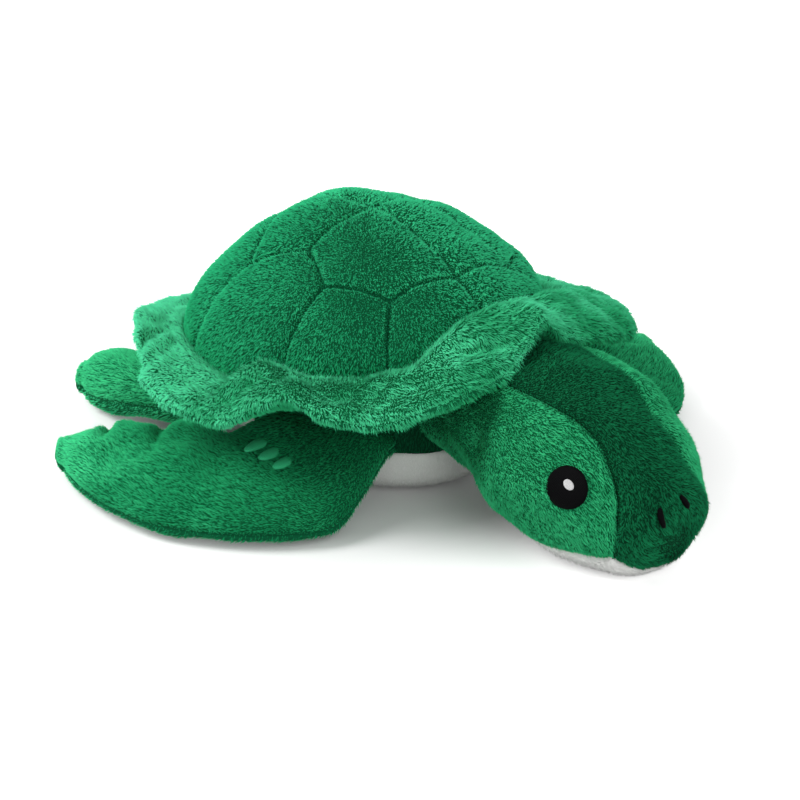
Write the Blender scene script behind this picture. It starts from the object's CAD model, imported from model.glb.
"""A plush sea turtle lying on its belly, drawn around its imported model.

Sizes are in millimetres until a mesh is made. +Z is up, the head looks along -Y and the
turtle's left side is +X. Each sewn panel is a grid over a surface formula, sunk along its
seams and padded between them, and each has a pile of short tapered fibres.
"""

import logging
import math
from collections.abc import Callable, Mapping, Sequence
from dataclasses import dataclass, field, replace
from enum import Enum

import bmesh
import bpy
import numpy as np
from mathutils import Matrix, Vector


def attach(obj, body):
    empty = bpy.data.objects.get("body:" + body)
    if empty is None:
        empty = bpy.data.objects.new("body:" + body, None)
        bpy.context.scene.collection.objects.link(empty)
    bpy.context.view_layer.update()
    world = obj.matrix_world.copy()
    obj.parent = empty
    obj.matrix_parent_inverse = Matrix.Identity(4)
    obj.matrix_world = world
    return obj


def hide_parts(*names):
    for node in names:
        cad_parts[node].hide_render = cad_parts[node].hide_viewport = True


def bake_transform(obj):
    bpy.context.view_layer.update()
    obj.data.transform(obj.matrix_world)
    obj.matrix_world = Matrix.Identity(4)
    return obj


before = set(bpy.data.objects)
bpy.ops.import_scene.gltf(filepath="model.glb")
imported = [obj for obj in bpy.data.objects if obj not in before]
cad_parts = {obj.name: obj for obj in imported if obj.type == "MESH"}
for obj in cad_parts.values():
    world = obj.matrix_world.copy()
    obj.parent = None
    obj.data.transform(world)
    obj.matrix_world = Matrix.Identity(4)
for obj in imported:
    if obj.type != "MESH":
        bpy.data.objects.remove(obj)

LOG = logging.getLogger("turtle")
Array = np.ndarray
Place = Callable[[Array, Array], Array]
Pair = tuple[float, float]
Chart = Callable[[float, float], Pair]
Colour = tuple[float, float, float]
Socket = bpy.types.NodeSocket

METRES = 0.001
TAU = 2 * math.pi
TINY = 1e-9
FAR = 1e3
MERGE = 1e-6


def curve(rows: Sequence[Sequence[float]], at: Array) -> Array:
    """Smooth values between the rows of a table.

    Args:
        rows: Rows of a place followed by the values there, in rising order of place.
        at: Places to read, of any shape.

    Returns:
        The values, in one more dimension than the places.
    """
    table = np.asarray(rows, float)
    x, y = table[:, 0], table[:, 1:]
    slope = np.gradient(y, x, axis=0)
    i = np.clip(np.searchsorted(x, at, side="right") - 1, 0, len(x) - 2)
    gap = (x[i + 1] - x[i])[..., None]
    t = np.clip((at - x[i])[..., None] / gap, 0, 1)
    keep = (1 + 2 * t) * (1 - t) ** 2
    start = t * (1 - t) ** 2 * gap
    end = t * t * (t - 1) * gap
    return keep * y[i] + start * slope[i] + (1 - keep) * y[i + 1] + end * slope[i + 1]


def unit(vectors: Array) -> Array:
    """Vectors of length one."""
    return vectors / np.maximum(np.linalg.norm(vectors, axis=-1, keepdims=True), TINY)


def smooth(start: float, end: float, at: Array) -> Array:
    """A smooth step from 0 at the start to 1 at the end."""
    t = np.clip((at - start) / (end - start), 0, 1)
    return t * t * (3 - 2 * t)


def turned(points: Array, degrees: float, x: float, y: float) -> Array:
    """Points turned about an upright axis through x, y."""
    c, s = math.cos(math.radians(degrees)), math.sin(math.radians(degrees))
    dx, dy = points[..., 0] - x, points[..., 1] - y
    return np.stack([x + c * dx - s * dy, y + s * dx + c * dy, points[..., 2]], -1)


def stacked(*parts: Array | float) -> Array:
    """Points from their coordinates, which may be plain numbers."""
    return np.stack(np.broadcast_arrays(*parts), -1).astype(float)


def lumps(points: Array, wavelength: float, seed: int, waves: int = 9) -> Array:
    """Soft uneven swells, such as stuffing leaves, as heights of about plus or minus one.

    Args:
        points: Points in millimetres.
        wavelength: Length of the swells.
        seed: Seed of the random directions.
        waves: How many waves are summed.

    Returns:
        One height for each point.
    """
    draw = np.random.default_rng(seed)
    total = np.zeros(points.shape[:-1])
    for _ in range(waves):
        direction = unit(draw.normal(size=3)) * TAU / (wavelength * draw.uniform(0.75, 1.4))
        total += np.cos(points @ direction + draw.uniform(0, TAU))
    return total * math.sqrt(2 / waves)


def normals(points: Array) -> Array:
    """Unit normals of a grid of points, which look out where its columns turn from its rows."""
    along = np.gradient(points, axis=1)
    across = np.gradient(points, axis=0)
    return unit(np.cross(across, along))


@dataclass(frozen=True)
class Nap:
    """How the pile of a cloth stands, in millimetres.

    Attributes:
        length: Length of a fibre tuft.
        width: Width of a tuft at its root.
        count: Tufts on a square millimetre.
        lean: How far the pile lies over, from 0 for upright to 1 for flat.
        clump: Size of the tufts that fall together.
        pull: How strongly they do.
        stray: How far single tufts go their own way.
        stretch: Length of the furrows between the tufts, over their width.
    """

    length: float
    width: float
    count: float
    lean: float
    clump: float
    pull: float
    stray: float
    stretch: float = 1.0


@dataclass(frozen=True)
class Plush:
    """A pile cloth.

    Attributes:
        name: Start of its materials' names.
        slot: The record's material slot.
        ground: Colour of the knitted ground.
        root: Colour of a fibre at its root.
        tip: Colour of a fibre that stands in the light.
        shade: Colour of a fibre in a furrow.
        nap: How its pile stands.
        sheen: Weight of the light that the fibres' edges catch.
    """

    name: str
    slot: str
    ground: Colour
    root: Colour
    tip: Colour
    shade: Colour
    nap: Nap
    sheen: float = 0.4


RUFFLE_PLUSH = Plush(
    name="ruffle plush",
    slot="green_plush",
    ground=(0.004, 0.1, 0.04),
    root=(0.004, 0.11, 0.04),
    tip=(0.13, 0.99, 0.52),
    shade=(0.022, 0.54, 0.195),
    nap=Nap(length=2.4, width=0.49, count=2.25, lean=0.62, clump=1.3, pull=0.24, stray=0.1, stretch=5.0),
)
LIMB_PLUSH = Plush(
    name="limb plush",
    slot="green_plush",
    ground=(0.003, 0.09, 0.035),
    root=(0.003, 0.085, 0.032),
    tip=(0.075, 0.84, 0.355),
    shade=(0.019, 0.51, 0.185),
    nap=Nap(length=1.9, width=0.46, count=2.35, lean=0.65, clump=1.15, pull=0.24, stray=0.1, stretch=4.0),
)
SHELL_PLUSH = Plush(
    name="shell plush",
    slot="shell_plush",
    ground=(0.003, 0.08, 0.032),
    root=(0.003, 0.075, 0.03),
    tip=(0.062, 0.82, 0.375),
    shade=(0.021, 0.57, 0.225),
    nap=Nap(length=1.4, width=0.47, count=2.3, lean=0.5, clump=0.95, pull=0.3, stray=0.1, stretch=2.2),
)
CROWN_PLUSH = Plush(
    name="crown plush",
    slot="green_plush",
    ground=(0.0015, 0.035, 0.014),
    root=(0.0015, 0.035, 0.014),
    tip=(0.014, 0.34, 0.128),
    shade=(0.003, 0.13, 0.048),
    nap=Nap(length=1.6, width=0.46, count=2.5, lean=0.55, clump=1.0, pull=0.24, stray=0.1, stretch=3.0),
)
WHITE_PLUSH = Plush(
    name="white plush",
    slot="white_plush",
    ground=(0.8, 0.8, 0.78),
    root=(0.8, 0.8, 0.78),
    tip=(0.93, 0.93, 0.92),
    shade=(0.88, 0.88, 0.86),
    nap=Nap(length=1.3, width=0.5, count=1.1, lean=0.5, clump=2.0, pull=0.6, stray=0.2),
)


class Thread(Enum):
    """The satin-stitch threads, by their colour."""

    BLACK = (0.002, 0.002, 0.0025)
    WHITE = (0.9, 0.9, 0.9)
    GREEN = (0.06, 0.72, 0.32)


def group_tree(name: str, kind: str, sockets: Sequence[tuple[str, str, str]]) -> bpy.types.NodeTree:
    """A node group with named sockets.

    Args:
        name: Name of the group.
        kind: Type of its tree.
        sockets: Rows of in or out, the socket's name and its type.

    Returns:
        The empty group.
    """
    tree = bpy.data.node_groups.new(name, kind)
    for side, socket, socket_type in sockets:
        way = "INPUT" if side == "in" else "OUTPUT"
        tree.interface.new_socket(name=socket, in_out=way, socket_type=socket_type)
    return tree


class Wiring:
    """Adds nodes to a tree and links them, in the order in which they are written."""

    def __init__(self, tree: bpy.types.NodeTree) -> None:
        """Keeps the tree."""
        self.tree = tree

    def fill(self, node: bpy.types.Node, inputs: dict) -> None:
        """Sets a node's inputs, by name or number, or links them to output sockets."""
        for key, value in inputs.items():
            socket = node.inputs[key]
            if isinstance(value, Socket):
                self.tree.links.new(value, socket)
            else:
                socket.default_value = value

    def add(self, kind: str, inputs: dict | None = None, **settings: object) -> bpy.types.Node:
        """A new node with its settings and inputs.

        Args:
            kind: The node's type.
            inputs: Values or output sockets by input name or number.
            settings: Properties of the node.

        Returns:
            The node.
        """
        node = self.tree.nodes.new(kind)
        for key, value in settings.items():
            setattr(node, key, value)
        self.fill(node, inputs or {})
        return node

    def math(self, operation: str, a: object, b: object = 0.0, c: object = 0.0) -> Socket:
        """The output of a Math node."""
        return self.add("ShaderNodeMath", {0: a, 1: b, 2: c}, operation=operation).outputs[0]

    def vector(self, operation: str, a: object, b: object = None, scale: object = None) -> Socket:
        """The vector output of a Vector Math node."""
        given = {0: a, 1: b, "Scale": scale}
        inputs = {key: value for key, value in given.items() if value is not None}
        return self.add("ShaderNodeVectorMath", inputs, operation=operation).outputs[0]

    def clamp(self, value: Socket, low: float, high: float) -> Socket:
        """A value kept between two limits."""
        return self.add("ShaderNodeClamp", {0: value, 1: low, 2: high}).outputs[0]

    def blend(self, share: Socket, first: object, second: object) -> Socket:
        """A colour that lies between two others by a share."""
        return self.add("ShaderNodeMix", {"Factor": share, 6: first, 7: second}, data_type="RGBA").outputs[2]

    def bump(self, height: Socket, strength: float, depth: float) -> Socket:
        """A normal that is roughened by a height, to a depth in metres."""
        inputs = {"Strength": strength, "Distance": depth, "Height": height}
        return self.add("ShaderNodeBump", inputs).outputs[0]

    def chance(self, low: float, high: float, seed: int = 0) -> Socket:
        """A random number for each point."""
        inputs = {2: low, 3: high, "Seed": seed}
        return self.add("FunctionNodeRandomValue", inputs, data_type="FLOAT").outputs[1]

    def chance_vector(self, low: tuple, high: tuple, seed: Socket) -> Socket:
        """A random vector for each point."""
        inputs = {"Min": low, "Max": high, "Seed": seed}
        return self.add("FunctionNodeRandomValue", inputs, data_type="FLOAT_VECTOR").outputs[0]

    def read(self, name: str, kind: str = "FLOAT") -> Socket:
        """The values of a named attribute."""
        node = self.add("GeometryNodeInputNamedAttribute", {"Name": name}, data_type=kind)
        return node.outputs["Attribute"]

    def store(
        self, mesh: Socket, name: str, value: Socket, kind: str = "FLOAT", domain: str = "POINT"
    ) -> Socket:
        """Geometry that carries a named attribute."""
        inputs = {"Geometry": mesh, "Name": name, "Value": value}
        return self.add("GeometryNodeStoreNamedAttribute", inputs, data_type=kind, domain=domain).outputs[0]


class PlushNodes:
    """The node groups that every pile cloth shares.

    Attributes:
        strand_spread: How far a fibre's two sides lie apart over the tones.
        skin_share: How far a fibre is shaded as the cloth under it, and not as itself.
        fibre_map: Name of the map that the materials read.
        sway: How far a clump of full pull leans over.
        lengths: Least and greatest length of a single fibre, over the cloth's.
        swell: Slope and start of a clump's length over its noise.
        swell_limits: Least and greatest length of a clump, over the cloth's.
        level: Slope and start of a clump's tone over its noise.
        level_tones: Range and start of the tones of the furrows and the level pile.
        patch_scale: Scale of the slow patches.
        patch_tones: Range and start of their tone.
        luck: How far a single fibre's tone strays.
        tone_limits: Darkest and lightest tone.
        tip_bend: Power by which the tone leans to the shade.
        rise_bend: Power by which a fibre's colour leans to its root.
        lit_root: How far the root of a light fibre takes its tip's colour.
    """

    strand_spread = 0.02
    skin_share = 0.7
    fibre_map = "OFBake"
    sway = 4.0
    lengths = (0.65, 1.1)
    swell = (2.4, -0.2)
    swell_limits = (0.35, 1.5)
    level = (4.2, -1.45)
    level_tones = (0.4, 0.19)
    patch_scale = 70.0
    patch_tones = (0.5, -0.1)
    luck = 0.1
    tone_limits = (0.04, 0.96)
    tip_bend = 1.6
    rise_bend = 1.1
    lit_root = 0.6

    def __init__(self) -> None:
        """Builds the groups once."""
        self.pile = self._pile_group()
        self.tone = self._tone_group()
        self.uneven = self._uneven_group()

    def _pile_group(self) -> bpy.types.NodeTree:
        """Geometry nodes that stand tapered fibres on a panel and comb them."""
        floats = ["Count", "Length", "Width", "Lean", "Clump", "Pull", "Stray"]
        sockets = [("in", "Geometry", "NodeSocketGeometry")]
        sockets += [("in", name, "NodeSocketFloat") for name in floats]
        sockets += [("in", "Seed", "NodeSocketInt"), ("in", "Material", "NodeSocketMaterial")]
        sockets += [("out", "Geometry", "NodeSocketGeometry")]
        tree = group_tree("pile", "GeometryNodeTree", sockets)
        w = Wiring(tree)
        given = w.add("NodeGroupInput").outputs
        spread = w.math("MULTIPLY", given["Count"], w.read("cover"))
        inputs = {"Mesh": given["Geometry"], "Density": spread, "Seed": given["Seed"]}
        points = w.add("GeometryNodeDistributePointsOnFaces", inputs).outputs
        fineness = w.math("DIVIDE", 1.0, given["Clump"])
        inputs = {"Vector": w.read("lie", "FLOAT_VECTOR"), "Scale": fineness, "Detail": 1.5}
        noise = w.add("ShaderNodeTexNoise", inputs).outputs
        aimed = self._aimed(w, given, points["Normal"], noise["Color"])
        long = w.math("MULTIPLY", given["Length"], w.read("pile"))
        long = w.math("MULTIPLY", long, w.chance(*self.lengths))
        swell = w.math("MULTIPLY_ADD", noise["Fac"], *self.swell)
        long = w.math("MULTIPLY", long, w.clamp(swell, *self.swell_limits))
        wide = w.math("MULTIPLY", given["Width"], 0.5)
        size = w.add("ShaderNodeCombineXYZ", {0: wide, 1: wide, 2: long}).outputs[0]
        inputs = {"Vertices": 3, "Radius Top": 0.0, "Radius Bottom": 1.0, "Depth": 1.0}
        tuft = w.add("GeometryNodeMeshCone", inputs, fill_type="NGON").outputs["Mesh"]
        tuft = self._mark(w, tuft)
        toned = w.store(points["Points"], "tone", self._tone(w, noise["Fac"]))
        skinned = w.store(toned, "skin", points["Normal"], "FLOAT_VECTOR")
        inputs = {"Points": skinned, "Instance": tuft, "Rotation": aimed, "Scale": size}
        pile = w.add("GeometryNodeInstanceOnPoints", inputs).outputs[0]
        pile = w.add("GeometryNodeRealizeInstances", {0: pile}).outputs[0]
        offset = w.math("MULTIPLY", w.read("side"), self.strand_spread)
        across = w.math("ADD", w.read("tone"), offset)
        place = w.add("ShaderNodeCombineXYZ", {0: across, 1: w.read("along")}).outputs[0]
        pile = w.store(pile, self.fibre_map, place, "FLOAT2", "CORNER")
        # Light comes through the pile, so a fibre is shaded more as the cloth under it than as itself
        own = w.vector("SCALE", w.add("GeometryNodeInputNormal").outputs[0], scale=1.0 - self.skin_share)
        skin = w.vector("SCALE", w.read("skin", "FLOAT_VECTOR"), scale=self.skin_share)
        inputs = {"Mesh": pile, "Custom Normal": w.vector("NORMALIZE", w.vector("ADD", own, skin))}
        pile = w.add("GeometryNodeSetMeshNormal", inputs, mode="FREE", domain="CORNER").outputs[0]
        inputs = {"Geometry": pile, "Material": given["Material"]}
        pile = w.add("GeometryNodeSetMaterial", inputs).outputs[0]
        w.add("NodeGroupOutput", {"Geometry": pile})
        return tree

    def _aimed(self, w: Wiring, given: Mapping[str, Socket], normal: Socket, clumps: Socket) -> Socket:
        """The rotation of each fibre: combed, fallen together in clumps and strayed a little.

        Args:
            w: Wiring of the pile's group.
            given: The group's inputs by name.
            normal: Normal of the cloth.
            clumps: Noise that neighbours share.

        Returns:
            The rotation.
        """
        centred = w.vector("SUBTRACT", clumps, (0.5, 0.5, 0.5))
        clumped = w.vector("SCALE", centred, scale=w.math("MULTIPLY", given["Pull"], self.sway))
        stray = w.chance_vector((-1.0, -1.0, -1.0), (1.0, 1.0, 1.0), given["Seed"])
        strayed = w.vector("SCALE", stray, scale=given["Stray"])
        rise = w.vector("SCALE", normal, scale=w.math("SUBTRACT", 1.0, given["Lean"]))
        combed = w.vector("SCALE", w.read("comb", "FLOAT_VECTOR"), scale=given["Lean"])
        flow = w.vector("ADD", combed, w.vector("ADD", clumped, strayed))
        # A fibre may lie over but never points back into the cloth
        along = w.vector("DOT_PRODUCT", flow, normal).node.outputs["Value"]
        sunk = w.math("MINIMUM", along, 0.0)
        flow = w.vector("SUBTRACT", flow, w.vector("SCALE", normal, scale=sunk))
        way = w.vector("NORMALIZE", w.vector("ADD", rise, flow))
        spin = w.chance_vector((0.0, 0.0, 0.0), (0.0, 0.0, TAU), given["Seed"])
        spun = w.add("FunctionNodeEulerToRotation", {0: spin}).outputs[0]
        inputs = {"Rotation": spun, "Vector": way}
        return w.add("FunctionNodeAlignRotationToVector", inputs, axis="Z").outputs[0]

    def _tone(self, w: Wiring, clumps: Socket) -> Socket:
        """The tone of each fibre, from 0 for the shade's colour to 1 for the tip's."""
        position = w.add("GeometryNodeInputPosition").outputs[0]
        inputs = {"Vector": position, "Scale": self.patch_scale, "Detail": 1.0}
        broad = w.add("ShaderNodeTexNoise", inputs).outputs["Fac"]
        luck = w.chance(-self.luck, self.luck, 5)
        # Most of the surface is level and bright, with narrow dark furrows in it
        level = w.clamp(w.math("MULTIPLY_ADD", clumps, *self.level), 0.0, 1.0)
        tone = w.math("MULTIPLY_ADD", level, *self.level_tones)
        tone = w.math("ADD", tone, w.read("brush"))
        tone = w.math("ADD", tone, w.math("MULTIPLY_ADD", broad, *self.patch_tones))
        return w.clamp(w.math("ADD", tone, luck), *self.tone_limits)

    @staticmethod
    def _mark(w: Wiring, tuft: Socket) -> Socket:
        """Stores a tuft's own place across and along it, before it is repeated."""
        position = w.add("GeometryNodeInputPosition").outputs[0]
        parts = w.add("ShaderNodeSeparateXYZ", {0: position}).outputs
        return w.store(w.store(tuft, "side", parts["Y"]), "along", parts["Z"])

    def _tone_group(self) -> bpy.types.NodeTree:
        """Colour of a fibre from its own tone and its height over the cloth."""
        sockets = [("in", name, "NodeSocketColor") for name in ("Root", "Shade", "Tip")]
        sockets += [("in", "Fibre", "NodeSocketVector"), ("out", "Color", "NodeSocketColor")]
        tree = group_tree("fibre tone", "ShaderNodeTree", sockets)
        w = Wiring(tree)
        given = w.add("NodeGroupInput").outputs
        parts = w.add("ShaderNodeSeparateXYZ", {0: given["Fibre"]}).outputs
        lit = w.blend(w.math("POWER", parts["X"], self.tip_bend), given["Shade"], given["Tip"])
        rise = w.math("POWER", parts["Y"], self.rise_bend)
        # A tuft that stands in the light is bright down to its root
        under = w.math("SUBTRACT", 1.0, rise)
        bright = w.math("MULTIPLY", w.math("MULTIPLY", parts["X"], self.lit_root), under)
        full = w.blend(w.math("ADD", rise, bright), given["Root"], lit)
        w.add("NodeGroupOutput", {"Color": full})
        return tree

    @staticmethod
    def _uneven_group() -> bpy.types.NodeTree:
        """A slow and a fine unevenness over Object coordinates, as a mask and a height."""
        sockets = [("in", "Vector", "NodeSocketVector"), ("in", "Fine", "NodeSocketFloat")]
        sockets += [("out", "Mask", "NodeSocketFloat"), ("out", "Height", "NodeSocketFloat")]
        tree = group_tree("uneven cloth", "ShaderNodeTree", sockets)
        w = Wiring(tree)
        given = w.add("NodeGroupInput").outputs
        inputs = {"Vector": given["Vector"], "Scale": 60.0, "Detail": 3.0}
        slow = w.add("ShaderNodeTexNoise", inputs).outputs[0]
        inputs = {"Vector": given["Vector"], "Scale": given["Fine"], "Detail": 4.0, "Roughness": 0.7}
        fine = w.add("ShaderNodeTexNoise", inputs).outputs[0]
        mask = w.math("MULTIPLY_ADD", fine, 0.6, w.math("MULTIPLY", slow, 0.4))
        w.add("NodeGroupOutput", {"Mask": mask, "Height": fine})
        return tree


class Finishes:
    """Makes each material once."""

    def __init__(self, nodes: PlushNodes) -> None:
        """Keeps the shared node groups."""
        self.nodes = nodes
        self.made: dict[str, bpy.types.Material] = {}

    def _once(self, name: str, build: Callable[[Wiring], dict]) -> bpy.types.Material:
        """A material, built when it is first asked for.

        Args:
            name: Name of the material.
            build: Adds its nodes and returns the inputs of its Principled shader.

        Returns:
            The material.
        """
        if name not in self.made:
            self.made[name] = painted(name, build)
        return self.made[name]

    def fibres(self, cloth: Plush) -> bpy.types.Material:
        """Material of a cloth's pile."""

        def build(w: Wiring) -> dict:
            fibre = w.add("ShaderNodeUVMap", uv_map=PlushNodes.fibre_map).outputs[0]
            colours = {"Root": cloth.root, "Shade": cloth.shade, "Tip": cloth.tip}
            inputs = {"Fibre": fibre, **{socket: (*colour, 1) for socket, colour in colours.items()}}
            tone = w.add("ShaderNodeGroup", inputs, node_tree=self.nodes.tone)
            return {
                "Base Color": tone.outputs["Color"],
                "Roughness": 0.85,
                "Specular IOR Level": 0.04,
                "Sheen Weight": cloth.sheen,
                "Sheen Roughness": 0.5,
                "Sheen Tint": (*(0.03 + 0.97 * c for c in cloth.tip), 1),
            }

        return self._once(f"{cloth.name} pile", build)

    def ground(self, cloth: Plush) -> bpy.types.Material:
        """Material of the knitted ground under a cloth's pile."""

        def build(w: Wiring) -> dict:
            inputs = {"Vector": w.add("ShaderNodeTexCoord").outputs["Object"], "Fine": 900.0}
            uneven = w.add("ShaderNodeGroup", inputs, node_tree=self.nodes.uneven).outputs
            return {
                "Base Color": w.blend(uneven["Mask"], (*cloth.ground, 1), (*cloth.root, 1)),
                "Normal": w.bump(uneven["Height"], 0.6, 0.0004),
                "Roughness": 0.95,
                "Specular IOR Level": 0.05,
            }

        return self._once(f"{cloth.name} ground", build)

    def stitched(self, thread: Thread) -> bpy.types.Material:
        """Material of satin stitches, which run across the piece's own map."""

        def build(w: Wiring) -> dict:
            across = w.add("ShaderNodeUVMap", uv_map=PlushNodes.fibre_map).outputs[0]
            inputs = {"Vector": across, "Scale": 9.0, "Distortion": 1.2, "Detail": 2.0, "Detail Scale": 3.0}
            rows = w.add("ShaderNodeTexWave", inputs, bands_direction="X").outputs["Fac"]
            between = (*(0.55 * c for c in thread.value), 1)
            return {
                "Base Color": w.blend(rows, between, (*thread.value, 1)),
                "Normal": w.bump(rows, 0.5, 0.0003),
                "Roughness": 0.6,
                "Specular IOR Level": 0.04,
            }

        return self._once(f"{thread.name.lower()} thread", build)


def painted(name: str, build: Callable[[Wiring], dict]) -> bpy.types.Material:
    """A new material, whose nodes are added by a function that returns its shader's inputs."""
    material = bpy.data.materials.new(name)
    material.use_nodes = True
    w = Wiring(material.node_tree)
    w.fill(material.node_tree.nodes["Principled BSDF"], build(w))
    return material


def linked(name: str, data: bpy.types.ID) -> bpy.types.Object:
    """A new object in the scene."""
    item = bpy.data.objects.new(name, data)
    bpy.context.scene.collection.objects.link(item)
    return item


def grid_mesh(name: str, points: Array, chart: Chart) -> bpy.types.Mesh:
    """A smooth mesh through a grid of points, with its map.

    Args:
        name: Name of the mesh.
        points: Rows of columns of points, in millimetres.
        chart: Place on the map, from a corner's two shares of the grid less a half.

    Returns:
        The mesh, whose doubles aren't merged yet.
    """
    rows, columns = points.shape[:2]
    bm = bmesh.new()
    uv = bm.loops.layers.uv.new(PlushNodes.fibre_map)
    bmesh.ops.create_grid(bm, x_segments=columns - 1, y_segments=rows - 1, size=0.5)
    for face in bm.faces:
        face.smooth = True
        for loop in face.loops:
            loop[uv].uv = chart(loop.vert.co.x, loop.vert.co.y)
    mesh = bpy.data.meshes.new(name)
    bm.to_mesh(mesh)
    bm.free()
    mesh.vertices.foreach_set("co", (points * METRES).ravel())
    return mesh


def closed(mesh: bpy.types.Mesh, turn_over: bool) -> bpy.types.Mesh:
    """The mesh with its seams and poles closed, and with its faces turned over where asked."""
    bm = bmesh.new()
    bm.from_mesh(mesh)
    bmesh.ops.remove_doubles(bm, verts=bm.verts[:], dist=MERGE)
    if turn_over:
        bmesh.ops.reverse_faces(bm, faces=bm.faces[:])
    bm.to_mesh(mesh)
    bm.free()
    return mesh


@dataclass(frozen=True)
class Bend:
    """A cloth's bend over a joint.

    Attributes:
        body: The body that the cloth leaves.
        start: Where the bend starts.
        end: Where it ends.
    """

    body: str
    start: tuple[float, float, float]
    end: tuple[float, float, float]


@dataclass
class Panel:
    """A sewn panel over a surface formula.

    Attributes:
        name: Name of the piece.
        body: Body that it rides on.
        nodes: Nodes that it stands for.
        cloth: Its cloth.
        place: Surface formula over two shares.
        columns: Steps of the first share.
        rows: Steps of the second share.
        seams: Sewn edges, of "u0", "u1", "v0" and "v1".
        sink: Depth of a sewn edge.
        width: How far in from a seam the cloth rises again.
        puff: How far the middle is padded out.
        wall: Thickness of an open panel, or 0 for a closed form.
        comb: The pile's way along the first and the second share.
        grain: The furrows' way over the pile, where it isn't the comb's.
        fill: How tightly it is stuffed.
        cover: Share of the full pile, at the grid's points, if it isn't full all over.
        trim: Length of the pile, at the grid's points, if it isn't full all over.
        lines: Distances from lines sewn across the panel, if it has any.
        brush: How much lighter the pile is where it is brushed up, at the grid's points.
        part: How far from a seam its pile falls away from it.
        bend: Bend over a joint.
        tipped: Whether it narrows to a tip at its last column, where nothing is sunk or padded.
        narrow: Widths of the panel between which its relief and its pile come up to full.
        pressed: Length of the pile beside a sewn edge, over the full length.
        pressed_near: Distances from the edge between which it comes up to full.
        underfoot: Length of the pile on the floor, over the full length.
        underfoot_near: Heights between which it comes up to full.
        wander: How far the furrows wander aside.
        seam_pull: How strongly the pile falls away from a seam.
    """

    name: str
    body: str
    nodes: tuple[str, ...]
    cloth: Plush
    place: Place
    columns: int
    rows: int
    seams: tuple[str, ...] = ()
    sink: float = 1.6
    width: float = 2.6
    puff: float = 0.0
    wall: float = 1.6
    comb: Pair = (1.0, 0.0)
    grain: Pair | None = None
    fill: float = 0.75
    cover: Place | None = None
    trim: Place | None = None
    lines: Place | None = None
    brush: Place | None = None
    part: float = 1.6
    bend: Bend | None = None
    tipped: bool = False
    narrow: Pair = (0.5, 5.0)
    pressed: float = 0.4
    pressed_near: Pair = (0.2, 2.0)
    underfoot: float = 0.3
    underfoot_near: Pair = (-0.2, 1.4)
    wander: float = 0.35
    seam_pull: float = 1.6

    def grid(self) -> tuple[Array, Array, Array]:
        """The panel's points and their two shares, as rows of columns."""
        u, v = np.meshgrid(np.linspace(0, 1, self.columns + 1), np.linspace(0, 1, self.rows + 1))
        points = self.place(u, v)
        points = points + normals(points) * self._relief(points)[..., None]
        return points, u, v

    def _relief(self, points: Array) -> Array:
        """How far the cloth is out from the formula, for its seams and its padding."""
        relief = np.full(points.shape[:2], self.puff)
        for edge in self.seams:
            away = self._from_edge(points, edge)
            relief = relief - (self.sink + self.puff) * np.exp(-((away / self.width) ** 1.3))
        if self.tipped:
            relief = relief * smooth(*self.narrow, self._from_edge(points, "u1"))
        return relief

    @staticmethod
    def _from_edge(points: Array, edge: str) -> Array:
        """Distance along the cloth from one edge."""
        axis = 1 if edge[0] == "u" else 0
        steps = np.linalg.norm(np.diff(points, axis=axis), axis=-1)
        pad = [(1, 0) if i == axis else (0, 0) for i in range(2)]
        run = np.cumsum(np.pad(steps, pad), axis=axis)
        if edge[1] == "1":
            run = np.take(run, [-1], axis=axis) - run
        return run

    def _pressed(self, points: Array) -> Array:
        """Share of the pile's length beside the sewn edges, and where the panel narrows to nothing."""
        share = np.ones(points.shape[:2])
        for edge in self.seams:
            near = smooth(*self.pressed_near, self._from_edge(points, edge))
            share = np.minimum(share, self.pressed + (1 - self.pressed) * near)
        for axis in (0, 1):
            length = np.linalg.norm(np.diff(points, axis=axis), axis=-1).sum(axis, keepdims=True)
            share = share * smooth(*self.narrow, length)
        clear = smooth(*self.underfoot_near, points[..., 2])
        return share * (self.underfoot + (1 - self.underfoot) * clear)

    def _lie(self, points: Array, u: Array, v: Array) -> Array:
        """Places across and along the comb, in which the furrows between the tufts are drawn out."""
        around = np.linalg.norm(np.diff(points, axis=1), axis=-1).sum(1).mean() * u
        up = np.linalg.norm(np.diff(points, axis=0), axis=-1).sum(0).mean() * v
        c, s = unit(np.array(self.grain or self.comb))
        wander = self.wander * lumps(points, 11, 61)
        return stacked(c * up - s * around + wander, (c * around + s * up) / self.cloth.nap.stretch, 0.0)

    def _flow(self, points: Array, u: Array, v: Array) -> Array:
        """The pile's way over the cloth, which turns away from the seams beside it."""
        along, across = np.gradient(points, axis=1), np.gradient(points, axis=0)
        flow = unit(self.comb[0] * unit(along) + self.comb[1] * unit(across))
        away = np.full(points.shape[:2], FAR)
        for edge in self.seams:
            away = np.minimum(away, self._from_edge(points, edge))
        if self.lines:
            away = np.minimum(away, self.lines(u, v))
        steps = [np.maximum(np.linalg.norm(way, axis=-1), TINY) for way in (along, across)]
        climb = [np.gradient(away, axis=axis) / step for axis, step in zip((1, 0), steps)]
        off = unit(climb[0][..., None] * unit(along) + climb[1][..., None] * unit(across))
        near = np.exp(-((away / self.part) ** 2))[..., None]
        return unit(flow * (1 - near) + off * near * self.seam_pull)

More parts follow.
